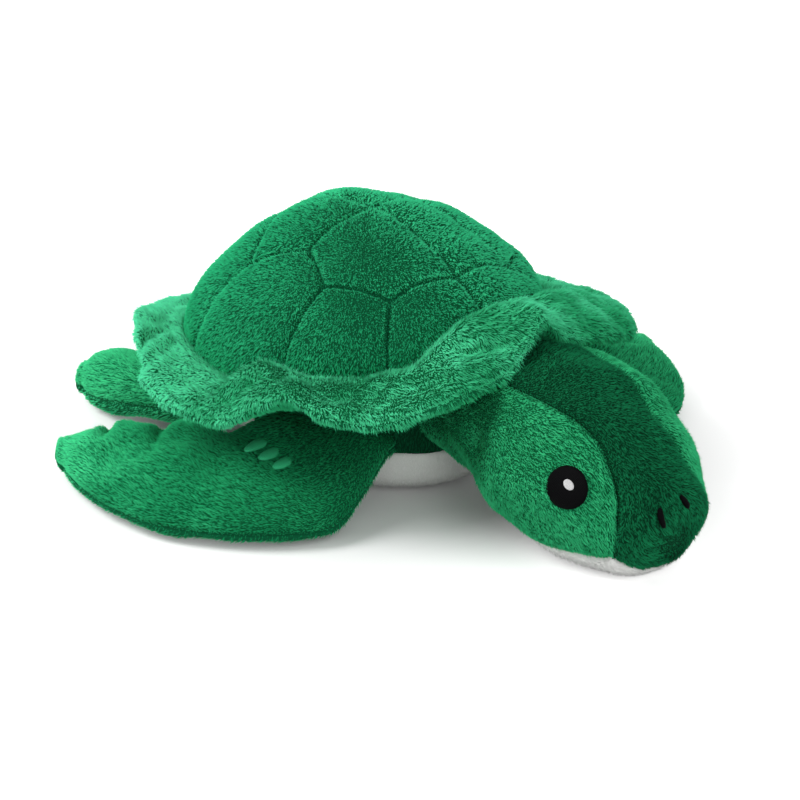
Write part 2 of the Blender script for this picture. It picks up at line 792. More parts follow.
    def sheet(self) -> bpy.types.Mesh:
        """The panel's outer face as a mesh, with the pile's flow, cover and length."""
        points, u, v = self.grid()
        mesh = grid_mesh(self.name, points, lambda x, y: (0.01 + 0.48 * (x + 0.5), 0.5 + 0.98 * y))
        flow = self._flow(points, u, v)
        length = (self.trim(u, v) if self.trim else np.ones_like(u)) * self._pressed(points)
        marks = {
            "comb": ("FLOAT_VECTOR", "vector", flow),
            "cover": ("FLOAT", "value", self.cover(u, v) if self.cover else np.ones_like(u)),
            "pile": ("FLOAT", "value", length),
            "brush": ("FLOAT", "value", self.brush(u, v) if self.brush else np.zeros_like(u)),
            "lie": ("FLOAT_VECTOR", "vector", self._lie(points, u, v) * METRES),
        }
        for name, (kind, key, values) in marks.items():
            mark = mesh.attributes.new(name, kind, "POINT")
            mark.data.foreach_set(key, np.asarray(values, np.float32).ravel())
        return closed(mesh, turn_over=True)


class Workroom:
    """Turns panels and stitches into the scene's pieces.

    Attributes:
        tufts_in_piece: Most tufts in one piece of pile.
        stitch_wall: Thickness of a stitched shape.
        stitch_steps: Steps of a stitched shape from its middle out.
    """

    tufts_in_piece = 48000
    quick_share = 0.35
    stitch_wall = 0.9
    stitch_steps = 8

    def __init__(self) -> None:
        """Builds the shared nodes and materials."""
        self.nodes = PlushNodes()
        self.finishes = Finishes(self.nodes)
        self.triangles = 0

    def sew(self, panel: Panel) -> bpy.types.Object:
        """A panel's piece and the pieces of its pile.

        Args:
            panel: The panel to make.

        Returns:
            The panel's own piece.
        """
        sheet = panel.sheet()
        area = sum(p.area for p in sheet.polygons) / METRES**2
        tufts = area * panel.cloth.nap.count
        batches = max(1, math.ceil(tufts / self.tufts_in_piece))
        for i in range(batches):
            name = f"{panel.name}_pile" + (f"_{i + 1}" if batches > 1 else "")
            self._pile(name, sheet.copy(), panel, 1 / batches, 11 * i + len(panel.name))
        piece = linked(f"{panel.name}_cloth", sheet)
        self._wall(piece, panel.wall)
        piece.data.materials.append(self.finishes.ground(panel.cloth))
        self._place(piece, panel)
        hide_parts(*panel.nodes)
        LOG.info("%s: %.0f square mm, %.0f tufts", panel.name, area, tufts)
        return piece

    def _place(self, piece: bpy.types.Object, panel: Panel) -> None:
        """Lets a piece ride on its body, or bend over its joint."""
        if panel.bend is None:
            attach(piece, panel.body)
            return
        start, end = (tuple(c * METRES for c in at) for at in (panel.bend.start, panel.bend.end))
        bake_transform(piece)
        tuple(start)
        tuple(end)

    def _wall(self, piece: bpy.types.Object, thickness: float) -> None:
        """Gives an open sheet its thickness, inwards, and its inner face a map of its own."""
        if thickness <= 0:
            return
        outer = len(piece.data.loops)
        solidify = piece.modifiers.new("wall", "SOLIDIFY")
        solidify.thickness, solidify.offset = thickness * METRES, -1.0
        graph = bpy.context.evaluated_depsgraph_get()
        walled = bpy.data.meshes.new_from_object(piece.evaluated_get(graph))
        piece.modifiers.clear()
        layer = walled.uv_layers[PlushNodes.fibre_map].data
        uv = np.empty(len(layer) * 2, np.float32)
        layer.foreach_get("uv", uv)
        uv = uv.reshape(-1, 2)
        uv[outer:, 0] += 0.5
        layer.foreach_set("uv", uv.ravel())
        piece.data = walled

    def _pile(self, name: str, base: bpy.types.Mesh, panel: Panel, share: float, seed: int) -> None:
        """Stands the pile on a copy of a panel's outer face, as a plain mesh."""
        holder = linked(name, base)
        modifier = holder.modifiers.new("pile", "NODES")
        modifier.node_group = self.nodes.pile
        nap = panel.cloth.nap
        thin = 1.0
        values = {
            "Count": nap.count * share * thin / METRES**2,
            "Length": nap.length * METRES,
            "Width": nap.width * METRES / math.sqrt(thin),
            "Lean": nap.lean,
            "Clump": nap.clump * METRES,
            "Pull": nap.pull,
            "Stray": nap.stray,
            "Seed": seed,
            "Material": self.finishes.fibres(panel.cloth),
        }
        for item in self.nodes.pile.interface.items_tree:
            if item.in_out == "INPUT" and item.name in values:
                modifier[item.identifier] = values[item.name]
        graph = bpy.context.evaluated_depsgraph_get()
        mesh = bpy.data.meshes.new_from_object(holder.evaluated_get(graph))
        bpy.data.objects.remove(holder)
        mesh.name = name
        for spare in ("tone", "side", "along", "cover", "pile", "comb", "skin", "lie", "brush"):
            if spare in mesh.attributes:
                mesh.attributes.remove(mesh.attributes[spare])
        piece = linked(name, mesh)
        self.triangles += sum(len(p.vertices) - 2 for p in mesh.polygons)
        self._place(piece, panel)

    def stitch(
        self, name: str, body: str, thread: Thread, place: Place, size: int = 28
    ) -> bpy.types.Object:
        """A raised satin-stitched shape over a surface.

        Args:
            name: Name of the node that it stands for, with which the piece's name starts.
            body: Body that it rides on.
            thread: Thread that it is stitched in.
            place: Points of its top over a share out from the middle and a share of a turn.
            size: Steps round it.

        Returns:
            The piece.
        """
        u, v = np.meshgrid(np.linspace(0, 1, self.stitch_steps + 1), np.linspace(0, 1, size + 1))

        def chart(x: float, y: float) -> Pair:
            out, turn = x + 0.5, (y + 0.5) * TAU
            return 0.5 + 0.48 * out * math.cos(turn), 0.5 + 0.48 * out * math.sin(turn)

        mesh = closed(grid_mesh(name, place(u, v), chart), turn_over=False)
        piece = linked(f"{name}_stitches", mesh)
        self._wall(piece, self.stitch_wall)
        piece.data.materials.append(self.finishes.stitched(thread))
        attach(piece, body)
        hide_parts(name)
        return piece


@dataclass(frozen=True)
class Shell:
    """The quilted dome on a base plane that is lifted at the front.

    Attributes:
        half_width: Half width of the dome.
        half_length: Half length of it.
        height: Its height over the base plane.
        base: Height of the base plane at the turtle's middle.
        pitch: How far the plane is lifted in front.
        radial: Power of the radius in the dome's height.
        vertical: Power of the whole, which makes its side steep.
        groove: Depth of a sewn line.
        groove_width: Its width.
        padding: How far the cloth swells between the lines.
        padding_width: How far from a line it comes up.
        under: Share of the rows that lie underneath.
        corners: Where sewn lines meet on the right half, as shares of the half sizes.
        rim_turns: Where lines end at the rim, as shares of half a turn from the head.
        lines: The sewn lines of one half.
        cross_lines: Corners that a line joins to their own mirror images.
        askew: How far the spine's scutes lie to the left.
        front_ends: Where the two foremost lines end, right and left.
        far_slope: How far the far side is drawn in.
        flank_nap: How much darker the right flank's pile is brushed.
        ease: Share up the dome, then how far the cloth stands out from the plain form.
        pucker: Height of the cloth's puckers beside a line.
        softness: Height of its slow swells.
        edge_light: How much lighter the pile is beside a line.
        patchiness: How much the brushing varies from scute to scute.
        pressed: Length of the pile in a line, over the full length.
        thin: Share of the pile that stands in a line.
        floor_share: Size of the cloth underneath, over the dome's.
        floor_sag: How far that cloth hangs at its edge, and how much more at its middle.
    """

    half_width: float = 74.0
    half_length: float = 85.0
    height: float = 65.0
    base: float = 52.0
    pitch: float = math.radians(11)
    radial: float = 2.1
    vertical: float = 0.57
    groove: float = 2.2
    groove_width: float = 1.15
    padding: float = 2.4
    padding_width: float = 5.2
    under: float = 0.05
    corners: dict[str, Pair] = field(
        default_factory=lambda: {
            "spineFront": (-0.133, -0.817),
            "spineMiddle": (-0.062, -0.24),
            "spineRear": (-0.05, 0.36),
            "ribFront": (-0.532, -0.679),
            "ribMiddle": (-0.689, -0.374),
            "ribRear": (-0.544, -0.157),
            "ribTail": (-0.668, 0.176),
        }
    )
    rim_turns: dict[str, float] = field(
        default_factory=lambda: {
            "spineFront": 0.041,
            "ribFront": 0.24,
            "ribMiddle": 0.417,
            "ribTail": 0.659,
            "spineRear": 0.92,
        }
    )
    lines: tuple[tuple[str, str], ...] = (
        ("spineFront", "spineMiddle"),
        ("spineMiddle", "spineRear"),
        ("spineRear", "rim:spineRear"),
        ("spineFront", "ribFront"),
        ("ribFront", "rim:ribFront"),
        ("ribFront", "ribMiddle"),
        ("ribMiddle", "rim:ribMiddle"),
        ("ribMiddle", "ribRear"),
        ("ribRear", "spineMiddle"),
        ("ribRear", "ribTail"),
        ("ribTail", "rim:ribTail"),
        ("ribTail", "spineRear"),
    )
    cross_lines: tuple[str, ...] = ("spineFront", "spineMiddle", "spineRear")
    askew: float = 0.166
    front_ends: tuple[Pair, Pair] = ((-0.128, -0.99), (0.63, -0.78))
    far_slope: float = 1.6
    flank_nap: float = 0.46
    ease: tuple[Pair, ...] = ((0, 0), (0.35, 0), (0.6, -1.9), (0.85, -1.8), (1, 0.2))
    pucker: float = 0.3
    softness: float = 0.5
    edge_light: float = 0.25
    patchiness: float = 0.1
    pressed: float = 0.35
    thin: float = 0.1
    floor_share: float = 0.99
    floor_sag: Pair = (0.4, 1.2)

    def on_shell(self, x: Array, y: Array, height: Array) -> Array:
        """Points of the model from places on the base plane and heights over it."""
        c, s = math.cos(self.pitch), math.sin(self.pitch)
        return stacked(x, c * y + s * height, self.base - s * y + c * height)

    def dome(self, x: Array, y: Array) -> Array:
        """Height of the plain dome over places on the base plane."""
        radius = np.minimum(1, np.hypot(x / self.half_width, y / self.half_length))
        return self.height * (1 - radius**self.radial) ** self.vertical

    def _corner(self, name: str, side: int) -> Array:
        """Plan place of a seam's end on the right side, -1, or the left one, 1, in millimetres."""
        if name.startswith("rim:"):
            angle = math.pi * self.rim_turns[name[4:]]
            share = (side * math.sin(angle), -math.cos(angle))
        else:
            x, y = self.corners[name]
            skew = self.askew if side > 0 and name.startswith("spine") else 0.0
            share = (-side * x + skew, y)
        return np.array([share[0] * self.half_width, share[1] * self.half_length])

    def seam_lines(self) -> list[tuple[Array, Array]]:
        """Every sewn line as its two plan ends, on both halves."""
        sides = (-1, 1)
        ends = [(self._corner(a, side), self._corner(b, side)) for side in sides for a, b in self.lines]
        ends += [(self._corner(a, -1), self._corner(a, 1)) for a in self.cross_lines]
        size = np.array([self.half_width, self.half_length])
        for side, end in zip((-1, 1), self.front_ends):
            ends.append((self._corner("spineFront", side), np.array(end) * size))
        return ends

    def from_seam(self, x: Array, y: Array) -> Array:
        """Distance over the cloth from the nearest sewn line, for every plan place."""
        nearest = np.full(x.shape, FAR)
        here = stacked(x, y, self.dome(x, y))
        for a, b in self.seam_lines():
            run = b - a
            share = np.clip(((x - a[0]) * run[0] + (y - a[1]) * run[1]) / (run @ run), 0, 1)
            bx, by = a[0] + share * run[0], a[1] + share * run[1]
            there = stacked(bx, by, self.dome(bx, by))
            nearest = np.minimum(nearest, np.linalg.norm(here - there, axis=-1))
        return nearest

    def _plan(self, u: Array, v: Array) -> tuple[Array, Array, Array]:
        """Plan place and share up the dome, which is below 0 on the plain side underneath."""
        angle = -u * TAU
        up = (v - self.under) / (1 - self.under)
        over = np.cos(np.clip(up, 0, 1) * math.pi / 2) ** 0.9
        radius = np.where(up < 0, np.clip(v / self.under, 0, 1), over)
        return self.half_width * radius * np.sin(angle), -self.half_length * radius * np.cos(angle), up

    def place(self, u: Array, v: Array) -> Array:
        """The quilted dome: u is a share of a turn, v goes from underneath over the rim to the top."""
        x, y, up = self._plan(u, v)
        away = self.from_seam(x, y)
        plain = self.on_shell(x, y, np.where(up < 0, 0.3, self.dome(x, y)))
        rise = self.padding * (1 - np.exp(-((away / self.padding_width) ** 0.8)))
        sewn = self.groove * np.exp(-((away / self.groove_width) ** 1.4))
        pucker = self.pucker * lumps(plain, 6.5, 21) * np.exp(-away / 4.0)
        soft = self.softness * lumps(plain, 34, 5)
        left, ahead = x / self.half_width, -y / self.half_length
        far = self.far_slope * smooth(0.0, 0.8, left) * smooth(-0.6, 0.2, ahead)
        form = curve(self.ease, up)[..., 0]
        relief = (rise - sewn + pucker + soft - far + form) * smooth(0, 0.1, up)
        return plain + normals(plain) * relief[..., None]

    def _lines(self, u: Array, v: Array) -> Array:
        """Distance from the nearest sewn line."""
        x, y, _ = self._plan(u, v)
        return self.from_seam(x, y)

    def brush(self, u: Array, v: Array) -> Array:
        """Lighter edges beside the seams, and scutes brushed a little differently."""
        x, y, _ = self._plan(u, v)
        edge = self.edge_light * np.exp(-(((self.from_seam(x, y) - 2.0) / 1.1) ** 2))
        patches = self.patchiness * lumps(stacked(x, y, 0.0), 60, 71)
        flank = self.flank_nap * smooth(0.1, 0.75, -x / self.half_width)
        return edge + patches + 0.1 - flank

    def trim(self, u: Array, v: Array) -> Array:
        """Length of the pile, which the seams press down."""
        return self.pressed + (1 - self.pressed) * smooth(0.3, 1.8, self._lines(u, v))

    def cover(self, u: Array, v: Array) -> Array:
        """Share of the pile: none underneath, and little in the sewn lines."""
        clear = smooth(0.1, 0.7, self._lines(u, v))
        return np.where(self._plan(u, v)[2] < 0, 0.0, self.thin + (1 - self.thin) * clear)

    def floor(self, u: Array, v: Array) -> Array:
        """The cloth that closes the shell underneath, a little crowned."""
        angle = -u * TAU
        x = self.half_width * self.floor_share * v * np.sin(angle)
        y = -self.half_length * self.floor_share * v * np.cos(angle)
        edge, middle = self.floor_sag
        return self.on_shell(x, y, -edge - middle * (1 - v**2))

    def make(self, room: Workroom) -> None:
        """Sews the dome and the cloth under it."""
        room.sew(
            Panel(
                name="carapace_cover", body="torso", nodes=("carapace_cover", "carapace_fill"),
                cloth=SHELL_PLUSH, place=self.place, columns=460, rows=135, wall=0.0,
                comb=(0.1, -1.0), fill=0.9, cover=self.cover, trim=self.trim, lines=self._lines,
                brush=self.brush,
            )
        )
        room.sew(
            Panel(
                name="shell_base_panel", body="torso", nodes=("shell_base_panel",),
                cloth=thinned(SHELL_PLUSH, 0.4), place=self.floor, columns=96, rows=14, wall=1.6,
                comb=(0.0, 1.0),
            )
        )


@dataclass(frozen=True)
class Crease:
    """A fold line over the ruffle, as share of a turn and share out.

    Attributes:
        start: Its inner end.
        end: Its outer end.
        depth: Depth of the fold.
        width: Its width.
        lap: How far the cloth before the line laps over the cloth after it.
    """

    start: Pair
    end: Pair
    depth: float
    width: float
    lap: float = 0.0


@dataclass(frozen=True)
class Ruffle:
    """The padded, waved ruffle round the shell.

    Attributes:
        shell: The shell that it goes round.
        reach: How far out it goes.
        thickness: Its thickness.
        waves: Share of a turn from the head round by the right side, then heights over the shell's
            base of the inner edge, the crest and the outer edge, and the reach as a share.
        creases: Its fold lines.
        seam_at: Share round the section of the seam beside the outer edge.
        seam_depth: Depth of the seam.
        seam_width: Its width, as a share round the section.
        upper: Shares round the section between which the creases are pressed in.
        lap_step: How sharply the cloth steps down at a lapped fold.
        lap_width: How far from its line a lapped fold is felt.
        rises: Shares of a turn between which the ruffle comes to stand up.
        falls: Shares of a turn between which it lies down again.
        lit: How much lighter it is brushed where it stands up.
        dim: How much darker its far side is brushed.
        dim_under: How much darker its underside is.
        pressed: Length of the pile in the seam, over the full length.
        section_round: Length round the section, over the reach.
        open_part: Shares round the section between which the full pile stands.
        hidden_pile: Share of the pile on the rest, where it meets the dome.
        bare_until: Share round the section up to which no pile stands.
    """

    shell: Shell
    reach: float = 33.0
    thickness: float = 12.0
    waves: tuple[tuple[float, float, float, float, float], ...] = (
        (0.0, 17, 22.5, 8, 0.85), (0.012, 18, 23.5, 16, 0.86), (0.022, 18, 23.5, 10.5, 0.88),
        (0.04, 17, 22, 0.5, 0.9), (0.06, 14, 19.5, -3.5, 0.95), (0.08, 9, 13, -5.6, 1.0),
        (0.1, 3, 5.5, -8.3, 1.0), (0.12, 2, 5, -11, 1.0), (0.14, 1.5, 2.6, -10.4, 1.0),
        (0.16, 2, 4.2, -4.4, 1.0), (0.18, 2, 6.1, 2.3, 0.97), (0.2, 3, 10.5, -0.8, 0.95),
        (0.22, 3, 10.8, -6.5, 0.95), (0.24, 3, 7.2, -7.3, 0.95), (0.26, 2, 4, -4.2, 0.97),
        (0.28, 3, 6, -2.0, 0.97), (0.3, 5.5, 9.5, 4.5, 0.92), (0.32, 8, 12, 12.5, 0.78),
        (0.345, 11, 15, 19, 0.67), (0.386, 14, 18.5, 20.5, 0.61), (0.42, 14, 18.5, 18, 0.63),
        (0.455, 12, 15.5, 14.5, 0.7), (0.49, 9, 13.5, 12.5, 0.76), (0.53, 6, 11, 13, 0.83),
        (0.57, 3, 8, 6, 0.9), (0.61, 5, 9, 13, 0.9), (0.65, 4, 8, 11, 0.92),
        (0.69, 2, 5, 0, 0.95), (0.73, 2, 4.5, -6, 0.97), (0.765, 3, 6.3, -0.8, 0.95),
        (0.8, 3.5, 7, -5.2, 0.97), (0.835, 4, 7.4, -5.2, 0.98), (0.87, 5, 9, -7, 1.08),
        (0.9, 9, 12, -9, 1.1), (0.925, 12, 15, -6, 1.02), (0.945, 14, 18, -3, 0.93),
        (0.965, 15, 20, 0, 0.86), (0.985, 16, 21.5, 3.5, 0.85),
    )
    creases: tuple[Crease, ...] = (
        Crease((0.016, 0.95), (0.085, 0.45), 3.0, 2.6),
        Crease((0.208, 0.05), (0.262, 1.0), 1.5, 2.0, lap=3.4),
        Crease((0.322, 1.0), (0.355, 0.4), 4.2, 2.6),
        Crease((0.3, 0.2), (0.34, 0.75), 1.4, 3.0),
        Crease((0.14, 0.5), (0.158, 0.8), 1.6, 2.4),
        Crease((0.118, 0.35), (0.13, 0.75), 1.2, 2.6),
        Crease((0.19, 0.5), (0.205, 0.95), 1.4, 2.2),
        Crease((0.9, 0.2), (0.925, 0.95), 2.0, 2.6),
        Crease((0.51, 0.2), (0.5, 0.95), 2.0, 2.8),
        Crease((0.59, 0.3), (0.6, 0.95), 1.8, 2.8),
        Crease((0.7, 0.3), (0.69, 0.95), 1.8, 2.8),
        Crease((0.78, 0.2), (0.8, 0.9), 1.6, 2.8),
    )
    seam_at: float = 0.585
    seam_depth: float = 1.1
    seam_width: float = 0.012
    upper: Pair = (0.12, 0.64)
    lap_step: float = 0.9
    lap_width: float = 7.5
    rises: Pair = (0.24, 0.32)
    falls: Pair = (0.5, 0.6)
    lit: float = 0.85
    dim: float = 0.3
    dim_under: float = 0.5
    pressed: float = 0.5
    section_round: float = 2.2
    open_part: Pair = (0.07, 0.78)
    hidden_pile: float = 0.35
    bare_until: float = 0.04

    def _wave(self, turn: Array) -> Array:
        """Inner, crest and outer heights and the reach at shares of a turn."""
        table = np.asarray(self.waves)
        around = np.vstack([table, table[:3] + [1, 0, 0, 0, 0]])
        around = np.vstack([table[-2:] - [1, 0, 0, 0, 0], around])
        return curve(around, turn)

    def _section(self, inner: Array, crest: Array, edge: Array) -> Array:
        """Shares out and heights of the section's points, from its inner edge over the crest and back."""
        top = edge + 4.5
        flat = np.zeros(inner.shape)
        rows = (
            (flat, flat - 3.9),
            (flat, np.maximum(inner, 1.0)),
            (flat + 0.14, 0.4 * inner + 0.6 * crest + 0.6),
            (flat + 0.33, crest),
            (flat + 0.62, 0.55 * crest + 0.45 * top + 0.8),
            (flat + 0.88, 0.16 * crest + 0.84 * top + 0.4),
            (flat + 1.0, edge + 1.8),
            (flat + 0.93, edge - 1.0),
            (flat + 0.64, 0.5 * (crest + edge) - 0.62 * self.thickness),
            (flat + 0.28, 0.5 * crest - 0.5 * self.thickness),
        )
        return np.stack([np.stack(np.broadcast_arrays(*row), -1) for row in rows], -2)

    @staticmethod
    def _round_section(section: Array, v: Array) -> Array:
        """A closed smooth curve through the section's points, read at shares round it."""
        count = section.shape[-2]
        at = np.clip(v, 0, 1) * count
        i = np.floor(at).astype(int) % count
        t = (at - np.floor(at))[..., None]
        spots = (((i + k) % count)[..., None, None] for k in (-1, 0, 1, 2))
        p = [np.take_along_axis(section, spot, axis=-2)[..., 0, :] for spot in spots]
        slope, end = (p[2] - p[0]) / 2, (p[3] - p[1]) / 2
        keep = (1 + 2 * t) * (1 - t) ** 2
        return keep * p[1] + t * (1 - t) ** 2 * slope + (1 - keep) * p[2] + t * t * (t - 1) * end

    def place(self, u: Array, v: Array) -> Array:
        """The ruffle: u is a share of a turn, v goes round its section."""
        turn = 1 - u
        inner, crest, edge, reach = np.moveaxis(self._wave(turn), -1, 0)
        out, height = np.moveaxis(self._round_section(self._section(inner, crest, edge), v), -1, 0)
        angle = TAU * turn
        ex = -self.shell.half_width * np.sin(angle)
        ey = -self.shell.half_length * np.cos(angle)
        outward = unit(stacked(ex / self.shell.half_width**2, ey / self.shell.half_length**2))
        far = out * self.reach * reach
        x, y = ex + outward[..., 0] * far, ey + outward[..., 1] * far
        points = self.shell.on_shell(x, y, height)
        swell = 0.5 * lumps(points, 19, 31) + 0.25 * lumps(points, 8, 32)
        relief = swell * smooth(0.1, 0.4, out) - self._folds(turn, out, v)
        return points + normals(points) * relief[..., None]

    def _folds(self, turn: Array, out: Array, v: Array) -> Array:
        """Depth of the creases and of the seam beside the outer edge."""
        round_it = TAU * (self.shell.half_width + self.shell.half_length + self.reach) / 2
        depth = np.zeros(turn.shape)
        for crease in self.creases:
            a = np.array([crease.start[0] * round_it, crease.start[1] * self.reach])
            b = np.array([crease.end[0] * round_it, crease.end[1] * self.reach])
            run = b - a
            x, y = turn * round_it - a[0], out * self.reach - a[1]
            share = np.clip((x * run[0] + y * run[1]) / (run @ run), 0, 1)
            away = np.hypot(x - share * run[0], y - share * run[1])
            fade = np.sin(math.pi * np.clip(0.12 + 0.8 * share, 0, 1))
            depth += crease.depth * fade * np.exp(-((away / crease.width) ** 2))
            if crease.lap:
                after = (run[1] * x - run[0] * y) / np.linalg.norm(run)
                near = np.exp(-((away / self.lap_width) ** 2))
                depth += crease.lap * fade * np.tanh(after / self.lap_step) * near
        depth *= np.where((v > self.upper[0]) & (v < self.upper[1]), 1.0, 0.0)
        seam = self.seam_depth * np.exp(-(((v - self.seam_at) / self.seam_width) ** 2))
        return depth + seam

    def brush(self, u: Array, v: Array) -> Array:
        """The pile is brushed up where the ruffle stands up, and lies in patches elsewhere."""
        turn = 1 - u
        standing = smooth(*self.rises, turn) * (1 - smooth(*self.falls, turn))
        patches = 0.12 * lumps(self.place(u, v), 32, 72)
        notch = 0.3 * (1 - smooth(0.03, 0.06, turn))
        far = smooth(0.85, 0.9, turn) * (1 - smooth(0.965, 1.0, turn)) + notch
        under = self.dim_under * smooth(0.6, 0.68, v)
        return self.lit * standing + patches + 0.05 - self.dim * far - under

    def _seam(self, u: Array, v: Array) -> Array:
        """Distance from the seam beside the outer edge, about."""
        return np.abs(v - self.seam_at) * self.reach * self.section_round + 0 * u

    def trim(self, u: Array, v: Array) -> Array:
        """Length of the pile, which the seam presses down."""
        return self.pressed + (1 - self.pressed) * smooth(0.2, 1.6, self._seam(u, v))

    def cover(self, u: Array, v: Array) -> Array:
        """Share of the pile: little inside, where the ruffle meets the dome."""
        start, end = self.open_part
        outside = np.where((v > start) & (v < end), 1.0, self.hidden_pile)
        return np.where(v < self.bare_until, 0.0, outside)

    def make(self, room: Workroom) -> None:
        """Sews the ruffle."""
        room.sew(
            Panel(
                name="shell_rim", body="torso", nodes=("shell_rim",), cloth=RUFFLE_PLUSH,
                place=self.place, columns=560, rows=60, wall=0.0, comb=(0.3, 0.9), grain=(0.97, 0.25),
                fill=0.5, cover=self.cover, trim=self.trim, lines=self._seam, brush=self.brush, part=0.9,
            )
        )


@dataclass(frozen=True)
class Trunk:
    """The stuffed body under the shell, with its white belly.

    Attributes:
        shell: The shell over it.
        half_width: Its half width.
        half_length: Its half length.
        height: The height that the rows are shares of.
        belly_seam: Height of the seam between the belly and the band.
        belly_flat: Share of the belly panel that lies flat.
        band_brush: How much darker the band's pile is brushed.
        rows: Height as a share, then half width and half length as shares.
    """

    shell: Shell
    half_width: float = 52.0
    half_length: float = 68.0
    height: float = 90.0
    belly_seam: float = 22.0
    belly_flat: float = 0.45
    band_brush: float = -0.45
    rows: tuple[tuple[float, float, float], ...] = (
        (0, 0.66, 0.72), (0.06, 0.86, 0.88), (0.2, 0.98, 0.97), (0.45, 1, 1), (1, 0.96, 0.97),
    )

    def _ring(self, u: Array, up: Array, shrink: Array) -> Array:
        """Points round the body at heights, drawn in by a share."""
        wide, long = np.moveaxis(curve(self.rows, up / self.height), -1, 0)
        angle = -TAU * u
        x = self.half_width * wide * shrink * np.cos(angle)
        y = self.half_length * long * shrink * np.sin(angle)
        return stacked(x, y, up)

    def band(self, u: Array, v: Array) -> Array:
        """The green side, from the belly's seam up to the shell's base."""
        outline = self._ring(u, np.full(u.shape, 0.7 * self.height), np.ones(u.shape))
        top = self.shell.base - math.tan(self.shell.pitch) * outline[..., 1] - 3
        up = self.belly_seam + v * (top - self.belly_seam)
        points = self._ring(u, up, np.ones(u.shape))
        return points + normals(points) * (0.7 * lumps(points, 26, 8))[..., None]

    def belly(self, u: Array, v: Array) -> Array:
        """The white underside, from its middle out and up to the seam."""
        flat = self.belly_flat
        up = self.belly_seam * np.clip((v - flat) / (1 - flat), 0, 1) ** 1.6
        shrink = np.clip(v / flat, 0, 1)
        return self._ring(u, up, shrink)

    def make(self, room: Workroom) -> None:
        """Sews the green band and the white belly."""
        room.sew(
            Panel(
                name="body_band", body="torso", nodes=("body_band", "body_fill"),
                cloth=thinned(CROWN_PLUSH, 1.3), place=self.band, columns=140, rows=26,
                seams=("v0",), comb=(0.2, -1.0), brush=lambda u, v: np.full(u.shape, self.band_brush),
            )
        )
        room.sew(
            Panel(
                name="belly_panel", body="torso", nodes=("belly_panel",),
                cloth=thinned(WHITE_PLUSH, 0.8), place=self.belly, columns=140, rows=36,
                seams=("v1",), comb=(0.2, -1.0), wall=1.6,
            )
        )


